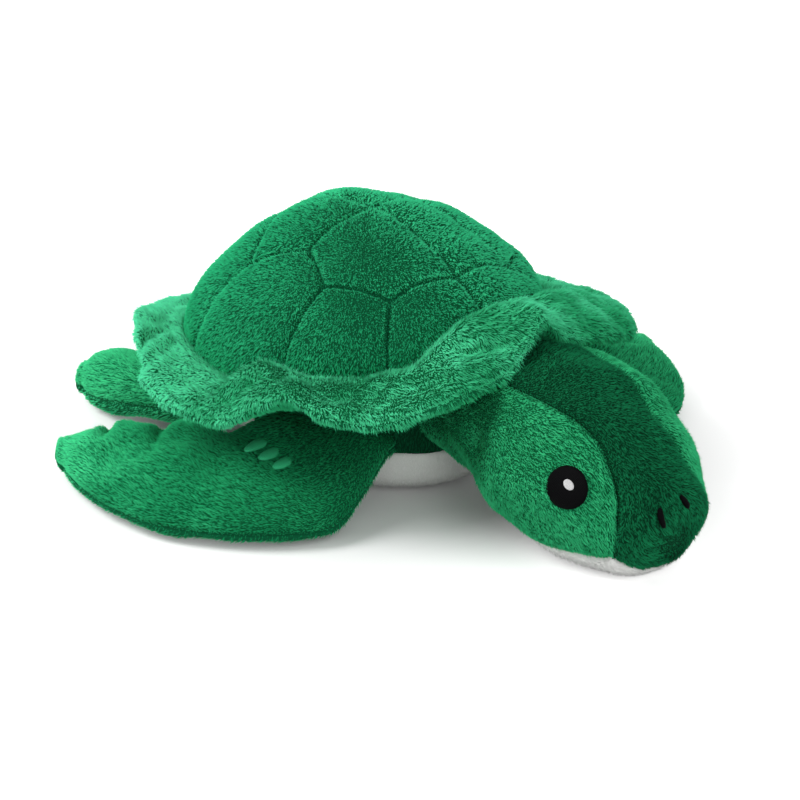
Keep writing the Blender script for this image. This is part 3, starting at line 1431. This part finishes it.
@dataclass(frozen=True)
class Head:
    """The neck and the head as one tube of sewn panels, turned a little to the side.

    A place along the tube is in millimetres from the head's hinge towards the nose, and an angle
    is in degrees over the turtle's left side, 90 at the top.

    Attributes:
        pivot_y: Place of the neck's hinge from the turtle's middle.
        turn: Degrees that neck and head are turned by.
        hinge_y: Place of the head's hinge before the turn.
        hinge_z: Height of the head's hinge.
        root_z: Height of the neck's hinge.
        droop: How far the head points down.
        length: Length of the head.
        half_width: Half width that the head's rows are shares of.
        half_height: Half height that they are shares of.
        neck_half_width: Half width that the neck's rows are shares of.
        neck_half_height: Half height that they are shares of.
        split: Place where the neck's panels end and the head's start.
        neck_rows: Share of the way between the hinges, then half width, top and bottom.
        head_rows: Share of the head's length, then half width, top and bottom.
        crown_seam: Places and angles of the seam between crown and side.
        chin_seam: Places and angles of the seam between side and chin.
        neck_start: Place where the neck's panels start.
        side_end: Place where the side panels end.
        chin_end: Place where the chin's panel ends.
        stuffing_seed: Seed of the stuffing's unevenness.
        floor_gap: Height of the lowest points.
        floor_near: Heights between which the stuffing's unevenness comes up to full.
        unevenness: Height of the stuffing's lumps.
        neck_bend: Where the neck's cloth bends on the torso.
        head_bend: Where the head's cloth bends on the neck.
        dimple: Place, angle, depth and width of the dimple where the neck bends.
        roll: Degrees that the seams are rolled by, as the head leans to its right.
        eye_along: Place of the eyes.
        eye_angles: Angle of the right eye, -1, and the left one, 1.
        eye_radius: Radius of an eye.
        eye_heights: Heights of its edge and its middle over the skin.
        glint_sizes: Half axes of its glint.
        glint_heights: Heights of the glint's edge and its middle.
        glint_at: Place and angle of the left glint from the eye's, and degrees that it is turned by.
        eye_bare: Distances from the eye's middle between which the pile starts.
        eye_short: Distances between which the pile comes up to full length.
        nostril_width: Half width of a nostril's dash.
        nostril_heights: Height of its edge over the skin, and of its crown over the edge.
        nostrils: Place and angle of both ends of the right dash, -1, and the left one, 1.
    """

    pivot_y: float = -66.0
    turn: float = -8.0
    hinge_y: float = -110.0
    hinge_z: float = 46.0
    root_z: float = 39.0
    droop: float = math.radians(20)
    length: float = 78.3
    half_width: float = 41.0
    half_height: float = 38.0
    neck_half_width: float = 30.0
    neck_half_height: float = 17.0
    split: float = -22.0
    neck_rows: tuple[tuple[float, float, float, float], ...] = (
        (-0.8, 1, 1, 1), (0.1, 1, 1, 1), (0.3, 1.05, 1.25, 1.25), (0.55, 1.14, 1.74, 1.6),
    )
    head_rows: tuple[tuple[float, float, float, float], ...] = (
        (0.06, 0.95, 0.93, 1.04), (0.234, 0.99, 0.98, 1.05), (0.443, 0.95, 0.95, 0.99),
        (0.63, 0.86, 0.84, 0.88), (0.793, 0.705, 0.66, 0.74), (0.85, 0.65, 0.595, 0.68),
        (0.9, 0.595, 0.52, 0.62), (0.945, 0.51, 0.43, 0.53), (0.975, 0.415, 0.34, 0.43),
        (0.995, 0.3, 0.24, 0.31), (1.008, 0.17, 0.13, 0.17), (1.014, 0, 0, 0),
    )
    crown_seam: tuple[Pair, ...] = (
        (-90, 48), (-40, 52), (1.6, 56), (19.4, 62), (35.5, 65.4), (45.7, 65.2), (53.1, 60.1),
        (59.5, 53), (66.6, 34.3), (70.4, 8.7), (71.2, -10), (72.4, -16), (74.6, -30), (75.6, -55),
        (76.2, -75), (76.8, -90), (80, -90), (84, -90),
    )
    chin_seam: tuple[Pair, ...] = (
        (-90, -60), (-40, -50), (-20, -44), (0, -43), (19, -43), (30.5, -38), (48, -31),
        (55.3, -27), (61.4, -22), (68.6, -14), (71.2, -10), (72.4, -16), (74.6, -30), (75.6, -55),
        (76.2, -75), (76.8, -90), (80, -90), (84, -90),
    )
    neck_start: float = -70.0
    side_end: float = 71.2
    chin_end: float = 76.8
    stuffing_seed: int = 40
    floor_gap: float = 0.3
    floor_near: Pair = (1.0, 9.0)
    unevenness: float = 0.8
    neck_bend: Bend = Bend("torso", (0, -52, 39), (0, -84, 42))
    head_bend: Bend = Bend("neck", (-3, -92, 45), (-8, -126, 45))
    dimple: tuple[float, float, float, float] = (-3.0, 180.0, 3.5, 6.5)
    roll: float = 7.0
    eye_along: float = 46.3
    eye_angles: dict[int, float] = field(default_factory=lambda: {-1: 156.8, 1: 16.0})
    eye_radius: float = 8.2
    eye_heights: Pair = (0.5, 1.3)
    glint_sizes: Pair = (1.9, 1.2)
    glint_heights: Pair = (1.4, 1.8)
    glint_at: tuple[float, float, float] = (0.2, 3.0, -8.0)
    eye_bare: Pair = (7.2, 7.9)
    eye_short: Pair = (6.6, 10.0)
    nostril_width: float = 0.42
    nostril_heights: Pair = (0.9, 0.7)
    nostrils: dict[int, tuple[Pair, Pair]] = field(
        default_factory=lambda: {-1: ((73.2, 114.5), (77.2, 122.3)), 1: ((72.6, 86.1), (75.6, 75.7))}
    )

    def _rows(self) -> Array:
        """Rows of place along, centre, half width, top, bottom and tilt of the whole tube."""
        rows = []
        reach = math.hypot(self.hinge_y - self.pivot_y, self.hinge_z - self.root_z)
        for share, wide, top, bottom in self.neck_rows:
            y = self.pivot_y + share * (self.hinge_y - self.pivot_y)
            z = self.root_z + share * (self.hinge_z - self.root_z)
            high = self.neck_half_height
            sizes = (wide * self.neck_half_width, top * high, bottom * high)
            rows.append([(share - 1) * reach, y, z, *sizes, 0.0])
        for share, wide, top, bottom in self.head_rows:
            far = share * self.length
            y = self.hinge_y - math.cos(self.droop) * far
            z = self.hinge_z - math.sin(self.droop) * far
            sizes = (wide * self.half_width, top * self.half_height, bottom * self.half_height)
            rows.append([far, y, z, *sizes, self.droop])
        return np.array(rows)

    @property
    def nose(self) -> float:
        """Place of the nose's tip along the head."""
        return self.head_rows[-1][0] * self.length

    def skin(self, along: Array, angle: Array) -> Array:
        """Points of the tube.

        Args:
            along: Millimetres from the hinge towards the nose.
            angle: Degrees over the left side, 90 at the top.

        Returns:
            The points, with the chin flat on the floor.
        """
        y, z, wide, top, bottom, tilt = np.moveaxis(curve(self._rows(), along), -1, 0)
        c, s = np.cos(np.radians(angle)), np.sin(np.radians(angle))
        rise = s * np.where(s > 0, top, bottom)
        points = stacked(c * wide, y - np.sin(tilt) * rise, z + np.cos(tilt) * rise)
        points[..., 2] = np.maximum(points[..., 2], self.floor_gap)
        return turned(points, self.turn, 0, self.pivot_y)

    def _at(self, along: float, angle: float) -> Array:
        """One point of the tube."""
        return self.skin(np.array(along), np.array(angle))

    def _stuffed(self, along: Array, angle: Array) -> Array:
        """Points of the tube with its dimple and the unevenness of its stuffing."""
        points = self.skin(along, angle)
        dent = self.unevenness * lumps(points, 30, self.stuffing_seed) - self._dimple(points)
        clear = smooth(*self.floor_near, points[..., 2])
        return points + normals(points) * (dent * clear)[..., None]

    def _dimple(self, points: Array) -> Array:
        """Depth of the dimple where the neck bends."""
        along, angle, depth, width = self.dimple
        away = np.linalg.norm(points - self._at(along, angle), axis=-1)
        return depth * np.exp(-((away / width) ** 2))

    def _over(self, span: tuple[float, float, Place, Place], read: Place) -> Place:
        """What a function of the tube gives at the two shares of a panel.

        Args:
            span: The panel's start and end along the tube, and the angles of its two seams.
            read: The function, of a place along the tube and an angle.

        Returns:
            A function of the two shares.
        """
        start, end, low, high = span

        def place(u: Array, v: Array) -> Array:
            along = start + (end - start) * u
            angle = low(along, v) + (high(along, v) - low(along, v)) * v
            return read(along, angle + self.roll)

        return place

    @staticmethod
    def _seam(rows: Sequence[Pair], start: float = 0.0, way: int = 1) -> Place:
        """A seam's angle over the left side, counted from a start, one way or the other."""
        return lambda along, _: start + way * curve(rows, along)[..., 0]

    def _on_skin(self, along: float, angle: float, a: Array, b: Array, height: Array) -> Array:
        """Points over the skin round a place on it.

        Args:
            along: The place's distance from the hinge.
            angle: Its angle over the left side.
            a: Millimetres from it towards the nose.
            b: Millimetres from it round the head.
            height: Heights over the skin.

        Returns:
            The points.
        """
        step = 1.0
        here = self._at(along, angle)
        per_along = np.linalg.norm(self._at(along + step, angle) - here)
        per_angle = np.linalg.norm(self._at(along, angle + step) - here)
        x, y = along + a / per_along, angle + b / per_angle
        points = self.skin(x, y)
        forward = self.skin(x + step, y) - points
        round_it = self.skin(x, y + step) - points
        return points + unit(np.cross(round_it, forward)) * height[..., None]

    def _disc(self, along: float, angle: float, sizes: Pair, turn: float, heights: Pair) -> Place:
        """A crowned oval on the skin.

        Args:
            along: Its place along the tube.
            angle: Its angle over the left side.
            sizes: Its half axes, the first towards the nose before it is turned.
            turn: Degrees that it is turned by.
            heights: Heights of its edge and its middle.

        Returns:
            Its points over a share out and a share of a turn.
        """
        c, s = math.cos(math.radians(turn)), math.sin(math.radians(turn))
        low, high = heights

        def place(u: Array, v: Array) -> Array:
            x, y = sizes[0] * u * np.cos(TAU * v), sizes[1] * u * np.sin(TAU * v)
            height = low + (high - low) * np.sqrt(np.clip(1 - u**2, 0, 1))
            return self._on_skin(along, angle, c * x - s * y, s * x + c * y, height)

        return place

    def _dash(self, first: Pair, last: Pair) -> Place:
        """A narrow raised oval on the skin between two places on it."""
        edge, crown = self.nostril_heights
        a, b = self._at(*first), self._at(*last)
        along, angle = (first[0] + last[0]) / 2, (first[1] + last[1]) / 2
        here = self._at(along, angle)
        forward = self._at(along + 0.5, angle) - here
        round_it = self._at(along, angle + 1.0) - here
        out = unit(np.cross(round_it, forward))
        aside = unit(np.cross(out, b - a))

        def place(u: Array, v: Array) -> Array:
            run = (0.5 + 0.5 * u * np.cos(TAU * v))[..., None]
            bow = (here - (a + b) / 2) * (4 * run * (1 - run))
            height = edge + crown * np.sqrt(np.clip(1 - u**2, 0, 1))
            width = (self.nostril_width * u * np.sin(TAU * v))[..., None]
            return a + (b - a) * run + bow - aside * width + out * height[..., None]

        return place

    def _clear_of_eye(self, side: int, limits: Pair) -> Place:
        """Share of a side panel's pile, which is left out where the eye is stitched."""
        eye = self._at(self.eye_along, self.eye_angles[side])

        def share(along: Array, angle: Array) -> Array:
            away = np.linalg.norm(self.skin(along, angle) - eye, axis=-1)
            return smooth(*limits, away)

        return share

    def face(self, room: Workroom) -> None:
        """Stitches the eyes, their glints and the nostrils."""
        for side, word in ((-1, "right"), (1, "left")):
            angle = self.eye_angles[side]
            radius = (self.eye_radius, self.eye_radius)
            eye = self._disc(self.eye_along, angle, radius, 0, self.eye_heights)
            room.stitch(f"eye_{word}", "head", Thread.BLACK, eye, 48)
            ahead, aside, turn = self.glint_at
            along, angle = self.eye_along + ahead, angle + side * aside
            glint = self._disc(along, angle, self.glint_sizes, side * turn, self.glint_heights)
            room.stitch(f"eye_glint_{word}", "head", Thread.WHITE, glint)
            nostril = self._dash(*self.nostrils[side])
            room.stitch(f"nostril_{word}", "head", Thread.BLACK, nostril)

    def make(self, room: Workroom) -> None:
        """Sews the neck and the four panels of the head, and stitches the face."""
        self.face(room)
        crown, chin = self._seam(self.crown_seam), self._seam(self.chin_seam)
        far_crown, far_chin = (self._seam(rows, 180.0, -1) for rows in (self.crown_seam, self.chin_seam))
        under = self._seam(self.chin_seam, 360.0)
        neck_parts = (
            ("neck_cover", crown, far_crown, CROWN_PLUSH, ("neck_cover", "neck_fill")),
            ("neck_side_left", chin, crown, LIMB_PLUSH, ()),
            ("neck_side_right", far_crown, far_chin, LIMB_PLUSH, ()),
            ("neck_under", far_chin, under, thinned(LIMB_PLUSH, 1.2), ()),
        )
        for name, low, high, cloth, nodes in neck_parts:
            span = (self.neck_start, self.split, low, high)
            room.sew(
                Panel(
                    name=name, body="neck", nodes=nodes, cloth=cloth,
                    place=self._over(span, self._stuffed), columns=36, rows=46,
                    seams=("v0", "v1"), sink=1.4, width=1.7, bend=self.neck_bend,
                )
            )
        head_parts = (
            ("head_crown_panel", crown, far_crown, CROWN_PLUSH, ("head_crown_panel", "head_fill"), self.nose),
            ("head_side_left", chin, crown, LIMB_PLUSH, ("head_side_left",), self.side_end),
            ("head_side_right", far_crown, far_chin, LIMB_PLUSH, ("head_side_right",), self.side_end),
            ("chin_panel", far_chin, under, WHITE_PLUSH, ("chin_panel",), self.chin_end),
        )
        for name, low, high, cloth, nodes, end in head_parts:
            side = {"head_side_right": -1, "head_side_left": 1}.get(name)
            span = (self.split, end, low, high)
            room.sew(
                Panel(
                    cover=self._over(span, self._clear_of_eye(side, self.eye_bare)) if side else None,
                    trim=self._over(span, self._clear_of_eye(side, self.eye_short)) if side else None,
                    name=name, body="head", nodes=nodes, cloth=cloth,
                    place=self._over(span, self._stuffed), columns=86, rows=60,
                    seams=("v0", "v1"), sink=1.6, width=1.7, puff=0.3, bend=self.head_bend,
                )
            )


@dataclass(frozen=True)
class Paddle:
    """The sizes of a pair of flippers.

    Attributes:
        root_x: Place of the root from the turtle's middle, sideways.
        root_y: Place of it towards the tail.
        reach: Length sideways that the shares are taken of.
        span: Length towards the tail that they are taken of.
        upper: How far the upper face swells over the edges.
        lower: How far the lower face swells under them.
        root_height: Height of the edges at the root.
        rest_height: Height of the edges where they lie.
        shares: At each station the leading edge outwards and tailwards, the trailing edge
            outwards and tailwards, and the thickness.
        drops: At each station how far the leading and the trailing edge have come down.
    """

    root_x: float
    root_y: float
    reach: float
    span: float
    upper: float
    lower: float
    root_height: float
    rest_height: float
    shares: tuple[tuple[float, float, float, float, float], ...]
    drops: tuple[Pair, ...]


FRONT = Paddle(
    root_x=46, root_y=-30, reach=90, span=90, upper=13, lower=8, root_height=26, rest_height=7.5,
    shares=(
        (-0.06, -0.24, 0.12, 0.36, 0.95), (0.2, -0.3, 0.22, 0.45, 1.0), (0.42, -0.33, 0.26, 0.55, 1.0),
        (0.64, -0.2, 0.22, 0.66, 1.0), (0.83, 0.02, 0.16, 0.76, 0.98), (0.95, 0.3, 0.18, 0.87, 0.95),
        (0.965, 0.57, 0.34, 0.93, 0.9), (0.925, 0.79, 0.42, 1.1, 0.88), (0.87, 0.97, 0.58, 1.13, 0.8),
        (0.81, 1.1, 0.69, 1.225, 0.6),
    ),
    drops=(
        (0, 0), (0.65, 0.2), (1, 0.45), (1, 0.55), (1, 0.6), (1, 0.65), (1, 0.65), (1, 0.65),
        (1, 0.7), (1, 0.8),
    ),
)
REAR = Paddle(
    root_x=34, root_y=56, reach=30, span=78, upper=18.5, lower=10, root_height=21, rest_height=9.5,
    shares=(
        (0.6, -0.17, -0.6, 0.17, 0.95), (0.73, 0.07, -0.4, 0.33, 1.0), (0.87, 0.36, -0.33, 0.52, 1.0),
        (0.93, 0.62, -0.2, 0.79, 0.95), (0.87, 0.83, 0.0, 0.98, 0.85), (0.73, 0.96, 0.33, 1.04, 0.5),
    ),
    drops=((0, 0), (0.3, 0.4), (0.6, 0.8), (0.85, 0.95), (1, 1), (1, 1)),
)


@dataclass(frozen=True)
class Flipper:
    """One stuffed flipper of an upper and a lower panel.

    Attributes:
        name: Name of its body, with which its pieces' names start.
        paddle: Its sizes.
        side: -1 on the right and 1 on the left.
        forward: Degrees that it is swept forward.
        inward: Length of its root inside the body.
        tip: Length of its rounded tip past the last station.
        furrows: Stations of the dents across its upper face.
        furrow_depth: Their depth.
        furrow_width: Their width, in stations.
        furrow_slant: Stations that a furrow runs on by from edge to edge.
        furrow_across: Shares across between which a furrow starts.
        nap_root: How the pile is brushed at its root.
        nap_tip: How it is brushed at its tip.
        bend_stations: Stations over which it turns forward.
        clearance: Height of its lowest points.
        cloth_thickness: Thickness of its cloth.
        spot_sizes: Half axes of a stitched spot.
        spots_at: Place of the middle spot from the root, outwards and tailwards.
        spot_step: Distance between spots.
        spot_heights: Heights of a spot's edge over the cloth and of its crown over the edge.
        tip_share: Width of the rounded tip's end, over the last station's.
        fullness: Power that fills the section out towards its edges.
        unevenness: Height of the stuffing's lumps.
        tip_nap: How much shorter the pile is on the tip.
        tip_from: Shares along between which it gets shorter.
        brushed_from: Shares along between which the brushing goes over to the tip's.
        patchiness: How much the brushing varies.
        bend_between: Stations between which the cloth bends on the torso.
    """

    name: str
    paddle: Paddle
    side: int
    forward: float = 0.0
    inward: float = 16.0
    tip: float = 5.0
    furrows: tuple[float, ...] = ()
    nap_root: float = -0.55
    nap_tip: float = 0.35
    bend_stations: float = 3.0
    clearance: float = 0.3
    cloth_thickness: float = 0.6
    furrow_depth: float = 4.5
    furrow_width: float = 0.2
    furrow_slant: float = 0.5
    furrow_across: Pair = (0.3, 0.85)
    spot_sizes: Pair = (7.5, 3.1)
    spots_at: Pair = (30.0, 13.0)
    spot_step: float = 8.5
    spot_heights: Pair = (1.0, 1.3)
    tip_share: float = 0.35
    fullness: float = 0.72
    unevenness: float = 0.8
    tip_nap: float = 0.75
    tip_from: Pair = (0.93, 0.99)
    brushed_from: Pair = (0.45, 0.95)
    patchiness: float = 0.1
    bend_between: Pair = (-0.6, 1.3)

    def _edges(self, station: Array) -> tuple[Array, Array]:
        """Leading and trailing edge points at stations, with the root carried on inwards."""
        size = self.paddle
        count = len(size.shares)
        rows = [[i, *shares, *drops] for i, (shares, drops) in enumerate(zip(size.shares, size.drops))]
        lead_out, lead_back, trail_out, trail_back, _, lead_drop, trail_drop = np.moveaxis(
            curve(rows, np.clip(station, 0, count - 1)), -1, 0
        )
        turn = np.radians(-self.side * self.forward) * np.clip(station / self.bend_stations, 0, 1)

        def point(out: Array, back: Array, drop: Array) -> Array:
            x, y = self.side * out * size.reach, back * size.span
            c, s = np.cos(turn), np.sin(turn)
            height = size.root_height + (size.rest_height - size.root_height) * drop
            return stacked(self.side * size.root_x + c * x - s * y, size.root_y + s * x + c * y, height)

        lead, trail = point(lead_out, lead_back, lead_drop), point(trail_out, trail_back, trail_drop)
        across = unit((trail - lead) * [1, 1, 0])
        within = stacked(-across[..., 1] * self.side, across[..., 0] * self.side, 0.0)
        back = np.maximum(0, -station)[..., None] * within * self.inward
        return lead + back, trail + back

    def _form(self, station: Array, share: Array, way: int) -> Array:
        """Points of the upper or the lower face.

        Args:
            station: Station along the flipper, below 0 inside the body and past the last at the tip.
            share: Share across, from the leading edge.
            way: 1 for the upper face and -1 for the lower one.

        Returns:
            The points.
        """
        size = self.paddle
        last = len(size.shares) - 1
        lead, trail = self._edges(station)
        past = np.clip(station - last, 0, 1)
        before_lead, before_trail = self._edges(np.minimum(station, last) - 0.5)
        ahead = unit((lead + trail - before_lead - before_trail) * [1, 1, 0])
        thick = curve([[i, s[4]] for i, s in enumerate(size.shares)], np.clip(station, 0, last))[..., 0]
        close = np.sqrt(np.clip(1 - past**2, 0, 1))
        middle = (lead + trail) / 2
        narrow = (self.tip_share + (1 - self.tip_share) * close)[..., None]
        onward = ahead * (past * self.tip)[..., None]
        lead = middle + (lead - middle) * narrow + onward
        trail = middle + (trail - middle) * narrow + onward
        across = (1 - np.cos(math.pi * share)) / 2
        crown = np.sin(math.pi * share) ** self.fullness
        half = size.upper if way > 0 else size.lower
        points = lead + (trail - lead) * across[..., None]
        points[..., 2] += way * half * thick * crown * close
        if way > 0:
            for at in self.furrows:
                away = station - at - self.furrow_slant * (across - 0.7)
                line = np.exp(-((away / self.furrow_width) ** 2)) * smooth(*self.furrow_across, across)
                points[..., 2] -= self.furrow_depth * line * (1 - smooth(0.97, 1.0, across))
        points[..., 2] += way * self.unevenness * lumps(points, 26, 50 + self.side) * crown
        points[..., 2] = np.maximum(points[..., 2], self.clearance)
        return points

    def _face(self, way: int) -> Place:
        """Surface of the upper or the lower panel."""
        last = len(self.paddle.shares) - 1

        def place(u: Array, v: Array) -> Array:
            station = -1 + (last + 2) * u
            share = v if way * self.side < 0 else 1 - v
            return self._form(station, share, way)

        return place

    def _brushed(self, u: Array, v: Array) -> Array:
        """The pile is darker towards the root and brushed up towards the tip."""
        patches = self.patchiness * lumps(self._face(1)(u, v), 30, 73)
        return self.nap_root + (self.nap_tip - self.nap_root) * smooth(*self.brushed_from, u) + patches

    def _short_at_tip(self, u: Array, v: Array) -> Array:
        """Length of the pile, which is short on the rounded tip."""
        return 1 - self.tip_nap * smooth(*self.tip_from, u) + 0 * v

    def make(self, room: Workroom) -> None:
        """Sews both panels."""
        lead, trail = self._edges(np.array(self.bend_between))
        middle = (lead + trail) / 2
        bend = Bend("torso", tuple(middle[0]), tuple(middle[1]))
        for word, way in (("upper", 1), ("lower", -1)):
            extra = (f"{self.name}_fill",) if way > 0 else ()
            thin = thinned(LIMB_PLUSH, 0.8) if way < 0 else LIMB_PLUSH
            room.sew(
                Panel(
                    name=f"{self.name}_{word}_panel", body=self.name,
                    nodes=(f"{self.name}_{word}_panel", *extra), cloth=thin,
                    place=self._face(way), columns=84, rows=42,
                    seams=("v0", "v1"), sink=0.9, width=1.8, bend=bend, brush=self._brushed,
                    trim=self._short_at_tip, wall=self.cloth_thickness, tipped=True,
                )
            )

    def spots(self, room: Workroom) -> None:
        """Stitches the row of plain ovals on the upper face."""
        u, v = np.meshgrid(np.linspace(0.3, 0.8, 260), np.linspace(0.02, 0.98, 200))
        face = self._face(1)(u, v).reshape(-1, 3)
        x = self.side * (self.paddle.root_x + self.spots_at[0])
        edge, crown = self.spot_heights
        for i in range(3):
            y = self.paddle.root_y + self.spots_at[1] + (i - 1) * self.spot_step

            def place(out: Array, turn: Array, y: float = y) -> Array:
                px = x + self.spot_sizes[0] * out * np.cos(TAU * turn)
                py = y + self.spot_sizes[1] * out * np.sin(TAU * turn)
                away = np.hypot(face[:, 0] - px[..., None], face[:, 1] - py[..., None])
                near = np.argmin(away, axis=-1)
                rise = edge + crown * np.sqrt(np.clip(1 - out**2, 0, 1))
                return stacked(px, py, face[near, 2] + rise)

            room.stitch(f"flipper_spot_{i + 1}", self.name, Thread.GREEN, place)


def thinned(cloth: Plush, count: float) -> Plush:
    """The same cloth with another count of tufts, for where little of it is seen."""
    return replace(cloth, nap=replace(cloth.nap, count=count))


@dataclass(frozen=True)
class Studio:
    """Camera, lamps, world and floor of the photograph.

    Attributes:
        azimuth: The camera's direction, in degrees.
        elevation: Its height, in degrees.
        distance: Its distance from the aim, in metres.
        aim: The turtle's middle, in metres.
        aside: How far the camera looks past it, to the right.
        below: How far it looks below it.
        lens: Focal length in millimetres.
        daylight: Strength of the world as a light.
        lamps: Each lamp's name, place, size and power.
    """

    azimuth: float = -46.0
    elevation: float = 20.5
    distance: float = 1.1
    aim: tuple[float, float, float] = (0.0, 0.0, 0.06)
    aside: float = 0.01408
    below: float = 0.03432
    lens: float = 112.5
    daylight: float = 0.5
    lamps: tuple[tuple[str, tuple[float, float, float], float, float], ...] = (
        ("key", (-0.66, 0.46, 0.78), 0.6, 7.8),
        ("fill", (-0.35, -1.2, 0.8), 1.2, 7.2),
    )

    def camera(self) -> None:
        """Sets the camera, aimed beside the turtle's middle as the photograph is."""
        a, e = math.radians(self.azimuth), math.radians(self.elevation)
        back = Vector((math.sin(a) * math.cos(e), -math.cos(a) * math.cos(e), math.sin(e)))
        right = Vector((math.cos(a), math.sin(a), 0))
        up = back.cross(right)
        eye = Vector(self.aim) + back * self.distance
        target = Vector(self.aim) + right * self.aside - up * self.below
        data = bpy.data.cameras.new("camera")
        data.lens, data.sensor_width = self.lens, 36.0
        data.clip_start, data.clip_end = 0.05, 50
        camera = linked("camera", data)
        camera.location = eye
        camera.rotation_euler = (target - eye).to_track_quat("-Z", "Y").to_euler()
        bpy.context.scene.camera = camera

    def lights(self) -> None:
        """A soft lamp overhead at the turtle's right, and a broader one before its head."""
        for name, place, size, power in self.lamps:
            data = bpy.data.lights.new(name, "AREA")
            data.shape, data.size, data.energy = "DISK", size, power
            lamp = linked(name, data)
            lamp.location = place
            aim = Vector((0, 0, 0.05)) - Vector(place)
            lamp.rotation_euler = aim.to_track_quat("-Z", "Y").to_euler()

    def surround(self) -> None:
        """A white world that lights softly, and a pale floor that keeps the shadow."""
        world = bpy.data.worlds.new("studio")
        world.use_nodes = True
        bpy.context.scene.world = world
        w = Wiring(world.node_tree)
        path = w.add("ShaderNodeLightPath").outputs
        seen = w.math("MAXIMUM", path["Is Camera Ray"], path["Is Glossy Ray"])
        seen = w.math("MAXIMUM", seen, path["Is Transmission Ray"])
        strength = w.math("MULTIPLY_ADD", seen, 1.0 - self.daylight, self.daylight)
        w.fill(world.node_tree.nodes["Background"], {"Strength": strength, "Color": (1, 1, 1, 1)})

    def floor(self) -> None:
        """The floor, whose camera rays are brought up to white."""
        bm = bmesh.new()
        bmesh.ops.create_circle(bm, cap_ends=True, segments=96, radius=6.0)
        mesh = bpy.data.meshes.new("floor")
        bm.to_mesh(mesh)
        bm.free()
        floor = linked("floor", mesh)

        def build(w: Wiring) -> dict:
            camera_ray = w.add("ShaderNodeLightPath").outputs["Is Camera Ray"]
            place = w.add("ShaderNodeTexCoord").outputs["Object"]
            away = w.add("ShaderNodeVectorMath", {0: place}, operation="LENGTH").outputs["Value"]
            inputs = {"Value": away, 1: 0.09, 2: 0.25, 3: 0.02, 4: 0.95}
            spread = w.add("ShaderNodeMapRange", inputs).outputs[0]
            return {
                "Base Color": (0.9, 0.9, 0.9, 1),
                "Roughness": 0.9,
                "Specular IOR Level": 0.0,
                "Emission Color": (1, 1, 1, 1),
                "Emission Strength": w.math("MULTIPLY", camera_ray, spread),
            }

        mesh.materials.append(painted("floor", build))

    def make(self) -> None:
        """Sets up everything round the turtle."""
        self.camera()
        self.lights()
        self.surround()
        self.floor()


def main() -> None:
    """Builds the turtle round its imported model."""
    logging.basicConfig(level=logging.INFO, format="%(name)s: %(message)s")
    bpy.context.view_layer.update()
    bpy.context.scene.view_settings.view_transform = "Standard"
    Studio().make()
    room = Workroom()
    shell = Shell()
    shell.make(room)
    Ruffle(shell).make(room)
    Trunk(shell).make(room)
    Head().make(room)
    # The left front flipper is swept forward, and looks shorter and flatter for it
    swept = replace(FRONT, reach=91, span=79, upper=11)
    for side, word, paddle, forward in ((-1, "right", FRONT, 0.0), (1, "left", swept, 54.0)):
        front = Flipper(f"front_flipper_{word}", paddle, side, forward, furrows=(5.6, 7.2))
        front.make(room)
        if side < 0:
            front.spots(room)
        Flipper(f"rear_flipper_{word}", REAR, side, nap_root=0.1, nap_tip=0.3).make(room)
    LOG.info("pile triangles: %d", room.triangles)


if __name__ == "__main__":
    main()
